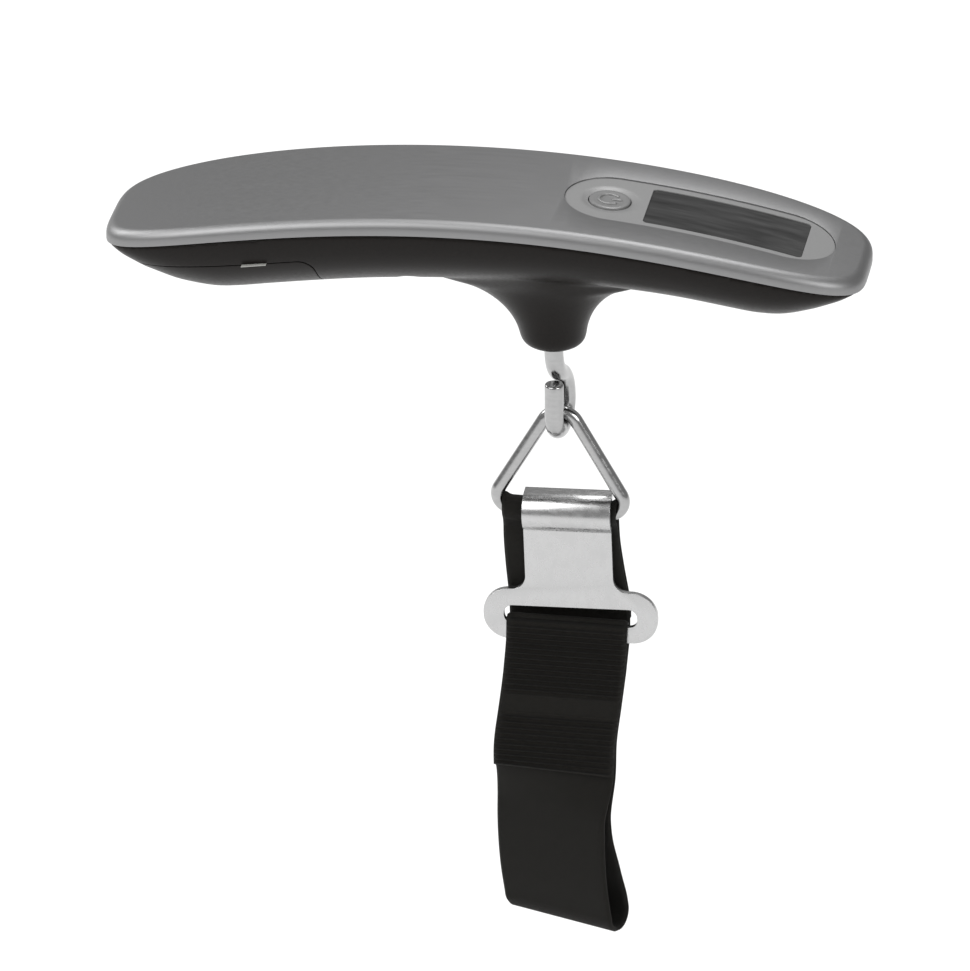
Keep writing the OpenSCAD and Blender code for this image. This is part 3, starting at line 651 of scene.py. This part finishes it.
def casing_skin():
    """The casing's outside as one solid: belly and stem, melted together where they meet."""
    skin = combine(belly_solid("casing", 0, 0), stem_solid(), "UNION")
    remesh = skin.modifiers.new("remesh", "REMESH")
    remesh.mode = "VOXEL"
    remesh.voxel_size = 0.42 * MM
    apply_modifiers(skin)
    near = skin.vertex_groups.new(name="near_stem")
    centre = on_handle((STEM_X, 0, 0))
    for v in skin.data.vertices:
        away = math.hypot((v.co.x - centre.x) / 1.5, v.co.y - centre.y) / MM
        share = ease((away - 3) / 4) * (1 - ease((away - 13) / 5))
        if share > 0:
            near.add([v.index], share, "REPLACE")
    for group, factor, turns in (("near_stem", 0.5, 60), ("", 0.5, 4)):
        smooth = skin.modifiers.new("smooth", "SMOOTH")
        smooth.vertex_group = group
        smooth.factor = factor
        smooth.iterations = turns
    apply_modifiers(skin)
    return skin


def on_seam(p):
    """From the frame on the door's seam below the coin cell to the handle's frame."""
    turn = Matrix.Rotation(-SEAM_ANGLE, 4, "Y")
    return on_handle(turn @ Vector(p) + Vector((CELL_X, 0, SEAM_Z + CELL_X * math.tan(SEAM_ANGLE))))


def door_region(gap):
    """What lies below the seam, with the seam's inner corner rounded."""
    r = 3.0
    right, top = DOOR_END - gap, -0.2 - gap
    corner = [(right - r + r * math.sin(a), 0, top - r + r * math.cos(a))
              for a in [math.pi / 2 * i / 8 for i in range(9)]]
    outline = [(-40, -30, -20), (-40, -30, top)] + [(x, -30, z) for x, _, z in corner] + [(right, -30, -20)]
    return prism("door_region", outline, (0, 60, 0), on_seam)


def make_casing():
    casing = casing_skin()
    door = bpy.data.objects.new("door", casing.data.copy())
    bpy.context.scene.collection.objects.link(door)

    # Battery door: a thin shell cut from the same skin
    combine(door, belly_solid("door_inside", WALL - 0.2, 3), "DIFFERENCE")
    combine(door, door_region(0.22), "INTERSECT")
    round_edges(door, 0.16, 40)
    dress(door, "door", "casing_black", 40, ["battery_door"])

    # Casing: hollow, with walls round the battery's space and a bore through the stem
    hollow = belly_solid("casing_inside", WALL, 6)
    combine(hollow, cylinder("block", STEM_X, 0, 6.4, -40, -15.2), "DIFFERENCE")
    combine(hollow, box("ceiling", (-30, -30, 0), (DOOR_END + 1.6, 30, 1.5), on_seam), "DIFFERENCE")
    end_wall = box("end_wall", (DOOR_END + 0.1, -30, -20), (DOOR_END + 1.3, 30, 1), on_seam)
    combine(hollow, end_wall, "DIFFERENCE")
    combine(casing, hollow, "DIFFERENCE")
    combine(casing, door_region(0), "DIFFERENCE")
    combine(casing, cylinder("bore", STEM_X, 0, 3.2, -60, -4), "DIFFERENCE")
    for x, y, seat in ((70.3, 0, -14.9), (-14, 11.6, -11.6), (-14, -10.2, -11.6)):
        combine(casing, cylinder("seat", x, y, 2.5, -40, seat), "DIFFERENCE")
    round_edges(casing, 0.16, 45)
    dress(casing, "handle", "casing_black", 40, ["lower_casing"])

    tray = lathe("cell_tray", [(0, 0.2), (11.3, 0.2), (11.3, -3.3), (10.2, -3.3), (10.2, 0.1), (0, 0.1)], 96)
    for v in tray.data.vertices:
        x, y, z = v.co / MM
        v.co = on_seam((x - MIDDLE_X, y, z - APEX_Z))
    dress(tray, "handle", "casing_black", 40)


# ---------------------------------------------------------------- hook and ring


def hook_line():
    drop = SHANK_LOW - BEND_Z
    bow_y = BEND_Y + HOOK_BEND
    angle = math.degrees(2 * math.atan(bow_y / drop))
    r = bow_y / 2 / (1 - math.cos(math.radians(angle)))
    line = [(0, mix(SHANK_TOP, SHANK_LOW, i / 6)) for i in range(6)]
    line += arc(r, SHANK_LOW, r, 180, 180 + angle, 14)
    line += arc(bow_y - r, BEND_Z, r, angle, 0, 14)[1:]
    line += arc(BEND_Y, BEND_Z, HOOK_BEND, 0, -180, 36)[1:]
    start = BEND_Y - HOOK_BEND
    line += [(start, mix(BEND_Z, TIP_Z - 0.45, i / 4)) for i in range(1, 5)]
    return line + [(start, TIP_Z - 0.2), (start, TIP_Z - 0.05), (start, TIP_Z)]


def make_hook():
    turn = Matrix.Rotation(-HOOK_TURN, 4, "Z")
    line = [turn @ Vector((0, y, z)) for y, z in hook_line()]
    radii = [HOOK_R] * (len(line) - 3) + [HOOK_R - 0.06, HOOK_R - 0.22, HOOK_R - 0.45]
    hook = tube("hook_wire", line, radii, 40, turn @ Vector((1, 0, 0)))
    dress(hook, "hook", "hook_chrome", 40, ["hook"])


def ring_line():
    """Centre line of the ring as [x, z], and the places where its straights meet its arcs."""
    corner = (CORNER_X, RING_LOW + CORNER_R)
    top = (0, BEND_Z - HOOK_BEND + HOOK_R + RING_R + 0.05 - APEX_R)
    reach = math.hypot(corner[0], top[1] - corner[1])
    slope = math.degrees(math.atan2(corner[0], top[1] - corner[1]) - math.asin((APEX_R - CORNER_R) / reach))
    apex_arc = arc(top[0], top[1], APEX_R, 90, slope, 12)
    corner_arc = arc(corner[0], corner[1], CORNER_R, slope, -90, 20)
    leg = [(mix(apex_arc[-1][0], corner_arc[0][0], t), mix(apex_arc[-1][1], corner_arc[0][1], t))
           for t in [i / 8 for i in range(1, 8)]]
    half = apex_arc + leg + corner_arc
    bar = [(mix(corner[0], -corner[0], i / 8), RING_LOW) for i in range(1, 8)]
    return half + bar + [(-x, z) for x, z in reversed(half[1:])]


def make_ring():
    line = [(RING_X + x, RING_Y, z) for x, z in ring_line()]
    ring = tube("ring_wire", line, [RING_R] * len(line), 36, (0, 1, 0), closed=True)
    dress(ring, "ring", "hook_chrome", 40, ["triangle_ring"])


# ---------------------------------------------------------------- buckle


def plate_outline():
    """Outline of the buckle's flat pattern as [x, z], anticlockwise from its lower left."""
    r, fillet, half = BAR_H / 2 - 0.3, 3.0, TONGUE_W / 2
    low, top = BAR_TOP - BAR_H, BAR_TOP
    line = arc(BAR_W / 2 - r, low + r, r, -90, 0, 16) + arc(BAR_W / 2 - r, top - r, r, 0, 90, 16)
    line += [(half + fillet - x, top + fillet - z) for x, z in arc(0, 0, fillet, 90, 0, 12)]
    line += [(half, top + 40)]
    return line + [(-x, z) for x, z in reversed(line)]


def lip_path():
    """The tongue's path in section as [y, z]: flat, a small bend out, the lip and its flange."""
    r = LIP_R + PLATE_T / 2
    bend = 1.6
    # The small bend's centre lies in front of the flat and outside the lip's arc
    cy = PLATE_Y - bend
    drop = math.sqrt((r + bend) ** 2 - (cy - RING_Y) ** 2)
    cz = RING_LOW - drop
    meet = math.degrees(math.atan2(drop, RING_Y - cy))
    points = [(PLATE_Y, BAR_TOP - BAR_H - 1), (PLATE_Y, cz)]
    points += arc(cy, cz, bend, 0, meet, 10)[1:]
    points += arc(RING_Y, RING_LOW, r, 180 + meet, LIP_START, 40)[1:]
    a = math.radians(LIP_START)
    y, z = points[-1]
    out, down = LIP_REACH * math.sin(a), LIP_REACH * math.cos(a)
    points += [(y + out * t, z - down * t) for t in (0.25, 0.5, 0.75, 1)]
    return points


def make_buckle():
    path = lip_path()
    lengths = [0.0]
    for a, b in zip(path, path[1:]):
        lengths.append(lengths[-1] + math.hypot(b[0] - a[0], b[1] - a[1]))
    start_z = path[0][1]
    tongue_top = start_z + lengths[-1]
    outline = [(x, min(z, tongue_top)) for x, z in plate_outline()]
    flat = prism("buckle", [(x, -PLATE_T / 2, z) for x, z in outline], (0, PLATE_T, 0), lambda p: Vector(p))
    r = SLOT_H / 2 - 0.2
    slot = arc(SLOT_W / 2 - r, SLOT_Z - 0.2, r, -90, 0, 8) + arc(SLOT_W / 2 - r, SLOT_Z + 0.2, r, 0, 90, 8)
    slot += [(-x, z) for x, z in reversed(slot)]
    cutter = prism("slot", [(x, -3, z) for x, z in slot], (0, 6, 0), lambda p: Vector(p))
    combine(flat, cutter, "DIFFERENCE")
    round_edges(flat, 0.28 / MM, 50, 3)
    work = bmesh.new()
    work.from_mesh(flat.data)
    for length in lengths[1:-1]:
        everything = work.verts[:] + work.edges[:] + work.faces[:]
        bmesh.ops.bisect_plane(work, geom=everything, plane_co=(0, 0, start_z + length), plane_no=(0, 0, 1))
    for v in work.verts:
        along = v.co.z - start_z
        i = max(k for k in range(len(path) - 1) if lengths[k] <= max(0, along) + 1e-6)
        (y0, z0), (y1, z1) = path[i], path[i + 1]
        before, after = path[max(0, i - 1)], path[min(len(path) - 1, i + 2)]
        t = (along - lengths[i]) / (lengths[i + 1] - lengths[i])
        side = Vector((mix(y1 - before[0], after[0] - y0, t), mix(z1 - before[1], after[1] - z0, t)))
        side.normalize()
        y, z = mix(y0, y1, t), mix(z0, z1, t)
        x, high = v.co.x, z - v.co.y * side.x - RING_LOW
        v.co = on_load_line((
            BUCKLE_X + x * math.cos(BUCKLE_TILT) - high * math.sin(BUCKLE_TILT),
            y + v.co.y * side.y,
            RING_LOW + x * math.sin(BUCKLE_TILT) + high * math.cos(BUCKLE_TILT),
        ))
    bmesh.ops.recalc_face_normals(work, faces=work.faces)
    work.to_mesh(flat.data)
    work.free()
    dress(flat, "buckle", "plate_steel", 38, ["buckle_plate"])


# ---------------------------------------------------------------- webbing

LAYER = STRAP_T / 2 + 0.05
RIM_WRAP = PLATE_T / 2 + LAYER + 0.05
TAB_LOW = -127.7
TAB_Y = RING_Y - 7
RIB_PITCH, RIB_HEIGHT = 1.15, 0.3
WEBBING_STEP = 0.16
# Height at which the back webbing ends and the front one begins, at the loop's bottom
SPLIT_Z = -158


def loop_points():
    """Centre line of the loop as [y, z], from the sewn end behind the ring's bar to the buckle's sewn end."""
    down = [(RING_Y + y + 0.05, RING_LOW + z) for y, z in ((2.2, -24), (1.8, -18), (1.1, -11), (0.75, -5.5))]
    wrap = arc(RING_Y, RING_LOW, RING_R + LAYER + 0.05, -20, 232, 12)
    drop = ((-0.5, -3.3), (-0.6, -5.5), (-0.2, -11), (0.5, -18), (0.95, -24))
    back = [(RING_Y + y - 0.05, RING_LOW + z) for y, z in drop]
    fall = ((-0.1, -108), (-2, -118), (-4.8, -128), (-5.3, -134), (-4.9, -141), (-2.5, -150))
    back += [(RING_Y + y, z) for y, z in fall]
    bottom = arc(RING_Y - 4.6, -158.8, 3.7, 10, -190, 8)
    front = [(RING_Y - 8.4, -146), (RING_Y - 7.8, -136), (TAB_Y, TAB_LOW - 1.6)]
    return down + wrap + back + bottom + front


def tab_points():
    """Centre line of the sewn end at the buckle: up, over the slot's lower rim and down the front."""
    back = PLATE_Y + RIM_WRAP
    front = PLATE_Y - RIM_WRAP
    line = [(TAB_Y, TAB_LOW), (TAB_Y + 1.9, TAB_LOW + 8), (back - 1.5, RIM_Z - 14), (back - 0.1, RIM_Z - 5)]
    line += arc(PLATE_Y, RIM_Z - 0.2, RIM_WRAP, 0, 180, 8)
    return line + [(front - 0.1, RIM_Z - 5), (front - 0.9, RIM_Z - 14), (TAB_Y + 0.35, TAB_LOW + 8),
                   (TAB_Y - STRAP_T - 0.3, TAB_LOW)]


# Place of the webbing's middle across, by height: it leans to one side as it hangs
LEAN = [(-163, 2.8), (-152, 1.6), (-141, 0.9), (-130, 0.7), (-123, 0.3), (-115, 1), (-108, 1.7),
        (-98, 2.3), (-76, 1.6)]


def lean(z):
    if z >= LEAN[-1][0]:
        return LEAN[-1][1]
    i = max((k for k in range(len(LEAN) - 1) if LEAN[k][0] <= z), default=0)
    near = [LEAN[min(len(LEAN) - 1, max(0, k))][1] for k in (i - 1, i, i + 1, i + 2)]
    t = max(0, (z - LEAN[i][0]) / (LEAN[i + 1][0] - LEAN[i][0]))
    return curve_value(*near, t)


def twisted(x, y, z):
    """Where a point of the webbing lies once its loop is twisted and gathered at the ring."""
    turn = -STRAP_TWIST * ease((TAB_LOW + 5 - z) / 15)
    gather = min(1, max(0, (z - RING_LOW + 20) / 19))
    x *= 1 - gather * 0.06
    across = mix(lean(z), RING_X, gather) + x * math.cos(turn) - y * math.sin(turn)
    # Past the straight of the ring's bar the webbing rides up its corners
    ride = ease((z - RING_LOW + 7) / 6)
    past = min(2.4, max(0, abs(across - RING_X) - CORNER_X)) * ride
    steep = 1 / math.sqrt(1 - (past / CORNER_R) ** 2)
    lift = CORNER_R - math.sqrt(CORNER_R**2 - past**2)
    return (across, x * math.sin(turn) + y * math.cos(turn), z + (z - RING_LOW) * ride * (steep - 1) + lift)


def glide(points, steps=12):
    """A smooth curve through points that lie at unequal distances."""
    points = [Vector(p) for p in points]
    result, last = [], len(points) - 1
    for i in range(last):
        b, c = points[i], points[i + 1]
        along = c - b
        length = along.length
        start = stop = along / length
        if i > 0:
            before = b - points[i - 1]
            start = (before.normalized() * length + along / length * before.length) / (before.length + length)
        if i < last - 1:
            after = points[i + 2] - c
            stop = (along / length * after.length + after.normalized() * length) / (length + after.length)
        for k in range(steps):
            t = k / steps
            result.append(b * (2 * t**3 - 3 * t**2 + 1) + c * (3 * t**2 - 2 * t**3)
                          + length * start * (t**3 - 2 * t**2 + t) + length * stop * (t**3 - t**2))
    return result + [points[-1]]


def resample(line, step):
    """Points at an even step along a line of [y, z]."""
    result, left = [Vector(line[0])], step
    for a, b in zip(line, line[1:]):
        a, b = Vector(a), Vector(b)
        length = (b - a).length
        while left <= length:
            result.append(a.lerp(b, left / length))
            left += step
        left -= length
    return result


def rib(from_end, first, last):
    """Height of the ribs that stitching draws across the webbing, between two distances from its end."""
    inside = ease((from_end - first) / 2) * ease((last - from_end) / 2)
    return inside * RIB_HEIGHT * math.cos(2 * math.pi * from_end / RIB_PITCH)


def make_webbing(name, centre, ribs, body):
    """A strip of webbing along an even centre line, with round edges and ribs on the stretches given."""
    step, across = WEBBING_STEP, 40
    n = len(centre)
    section = [(mix(-1, 1, k / across), 1) for k in range(across + 1)]
    section += [(mix(1, -1, k / across), -1) for k in range(across + 1)]
    m = len(section)
    points, uvs, rib_painted_shades = [], [], []
    for i, (y, z) in enumerate(centre):
        before, after = centre[max(0, i - 1)], centre[min(n - 1, i + 1)]
        along = (after - before).normalized()
        lift = sum(rib((n - 1 - i) * step, first, last) for first, last in ribs)
        for share, side in section:
            round_off = math.sqrt(max(0, 1 - max(0, (abs(share) - 0.955) / 0.045) ** 2))
            fade = 1 - ease((abs(share) - 0.9) / 0.1)
            half = STRAP_T / 2 * (0.25 + 0.75 * round_off) + lift * fade * (1 if side > 0 else -1)
            offset = side * half
            points.append(twisted(share * STRAP_W / 2, y - offset * along[1], z + offset * along[0]))
            uvs.append((share * STRAP_W / 2, i * step))
            # Rib height at each point, which the webbing's finish turns into painted shade in the valleys and
            # painted highlight on the crests.
            rib_painted_shades.append(0.5 + 0.5 * lift / RIB_HEIGHT * fade)
    faces = grid_faces(n, m, closed=True)
    faces += [tuple(range(m)), tuple(range(n * m - 1, (n - 1) * m - 1, -1))]
    mesh = bpy.data.meshes.new(name)
    mesh.from_pydata([on_load_line(p) for p in points], [], faces)
    layer = mesh.uv_layers.new(name="weave")
    for loop in mesh.loops:
        layer.data[loop.index].uv = uvs[loop.vertex_index]
    # Stored for the finish's painted shade and painted highlight along the ribs.
    mesh.attributes.new("rib_painted_shade", "FLOAT", "POINT").data.foreach_set("value", rib_painted_shades)
    work = bmesh.new()
    work.from_mesh(mesh)
    bmesh.ops.recalc_face_normals(work, faces=work.faces)
    work.to_mesh(mesh)
    work.free()
    obj = bpy.data.objects.new(name, mesh)
    bpy.context.scene.collection.objects.link(obj)
    return dress(obj, body, "webbing_black", 60)


def make_stitches(name, line, distances, side, body, node):
    """Dashes of thread across the webbing, at distances along a centre line, on one of its faces."""
    centre = resample(glide(line), 0.2)
    dash, space, count = 2.1, 0.7, 8
    points, faces = [], []
    for distance in distances:
        y, z = centre[round(distance / 0.2)]
        ahead = centre[round(distance / 0.2) + 1]
        along = (ahead - Vector((y, z))).normalized()
        out = side * (STRAP_T / 2 + 0.02)
        for k in range(count):
            middle = (k - (count - 1) / 2) * (dash + space)
            first = len(points)
            rings = [(-0.5, 0.25), (-0.44, 0.85), (-0.2, 1), (0.2, 1), (0.44, 0.85), (0.5, 0.25)]
            for share, thick in rings:
                for j in range(8):
                    a = 2 * math.pi * j / 8
                    up, over = 0.16 * thick * math.cos(a), (out + side * 0.1 * thick * math.sin(a))
                    points.append(twisted(middle + share * dash, y - over * along[1] + up * along[0],
                                          z + over * along[0] + up * along[1]))
            faces += [tuple(first + i for i in f) for f in grid_faces(len(rings), 8, closed=True)]
            faces += [tuple(range(first, first + 8)), tuple(range(first + 47, first + 39, -1))]
    dress(new_object(name, points, faces, on_load_line), body, "thread_black", 50, [node])


def make_strap():
    loop, tab = loop_points(), tab_points()
    centre = resample(glide(loop + tab), WEBBING_STEP)
    low = next(i for i, place in enumerate(centre) if place[1] < SPLIT_Z)
    back = make_webbing("webbing_back", centre[: low + 1], [], "strap")
    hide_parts("strap_loop")
    front = make_webbing("webbing_front", centre[low:], [(-3, 12.5), (14.5, 33.5)], None)
    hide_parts("strap_tab")
    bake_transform(front)
    bar_rows = [2 + 1.8 * k for k in range(6)]
    make_stitches("bar_threads", loop, bar_rows, 1, "strap", "bar_stitching")
    length = len(resample(glide(tab), 0.2)) * 0.2
    tab_rows = [length - 9.75 - 3.9 * k for k in range(5)]
    make_stitches("tab_threads", tab, tab_rows, 1, "buckle", "tab_stitching")


# ---------------------------------------------------------------- camera, light and floor

FLOOR_Z = -0.19


def make_camera():
    azimuth, elevation, distance = math.radians(9.8), math.radians(26.8), 1.8
    sa, ca, se, ce = math.sin(azimuth), math.cos(azimuth), math.sin(elevation), math.cos(elevation)
    level, rise = Vector((ca, sa, 0)), Vector((-se * sa, se * ca, ce))
    back = Vector((sa * ce, -ca * ce, se))
    target = on_handle((0, 0, 0)) - (0.91 * level + 58.9 * rise) * MM
    roll = math.radians(0.3)
    right = math.cos(roll) * level - math.sin(roll) * rise
    up = math.cos(roll) * rise + math.sin(roll) * level
    camera = bpy.data.cameras.new("camera")
    camera.lens = 340.6
    camera.clip_end = 20
    obj = bpy.data.objects.new("camera", camera)
    turn = Matrix((right, up, back)).transposed().to_4x4()
    obj.matrix_world = Matrix.Translation(target + back * distance) @ turn
    bpy.context.scene.collection.objects.link(obj)
    bpy.context.scene.camera = obj


def area_light(name, place, target, size, power):
    light = bpy.data.lights.new(name, "AREA")
    light.shape = "RECTANGLE"
    light.size, light.size_y = size
    light.energy = power
    obj = bpy.data.objects.new(name, light)
    obj.location = place
    obj.rotation_euler = (Vector(target) - Vector(place)).to_track_quat("-Z", "Y").to_euler()
    bpy.context.scene.collection.objects.link(obj)


def make_studio():
    corners = [(-4, -4, FLOOR_Z), (4, -4, FLOOR_Z), (4, 6, FLOOR_Z), (-4, 6, FLOOR_Z)]
    floor = new_object("floor", corners, [(0, 1, 2, 3)], Vector)
    floor.data.materials.append(finish("floor_white", (0.9, 0.9, 0.9), 0, 0.7, (20, 20, 20), 0.01))
    world = bpy.data.worlds.new("studio")
    world.use_nodes = True
    world.node_tree.nodes["Background"].inputs["Color"].default_value = (0.8, 0.8, 0.8, 1)
    world.node_tree.nodes["Background"].inputs["Strength"].default_value = 0.42
    bpy.context.scene.world = world
    area_light("key", (-0.8, -0.8, 1.1), (0, 0, -0.02), (1.2, 1.2), 16)
    area_light("fill", (0.9, -0.6, 0.5), (0, 0, -0.05), (0.6, 0.6), 5)
    area_light("side", (-1.3, 0.5, 0.8), (-0.05, 0, 0), (0.7, 0.7), 9)
    area_light("top", (0.1, 0.5, 1.4), (0, 0.5, -0.19), (1.2, 0.6), 11)
    bpy.context.scene.view_settings.view_transform = "Standard"


# ---------------------------------------------------------------- put together

make_camera()
make_cover()
make_panel()
make_window()
make_button()
make_casing()
make_hook()
make_ring()
make_buckle()
make_strap()

SLOTS = {part["node"]: part["material_slot"] for part in frame["record"]["subparts"]}
for node, obj in frame["nodes"].items():
    obj.data.materials.clear()
    obj.data.materials.append(FINISHES[SLOTS[node]])
    obj.data.shade_smooth()
    obj.data.set_sharp_from_angle(angle=math.radians(30))

make_studio()
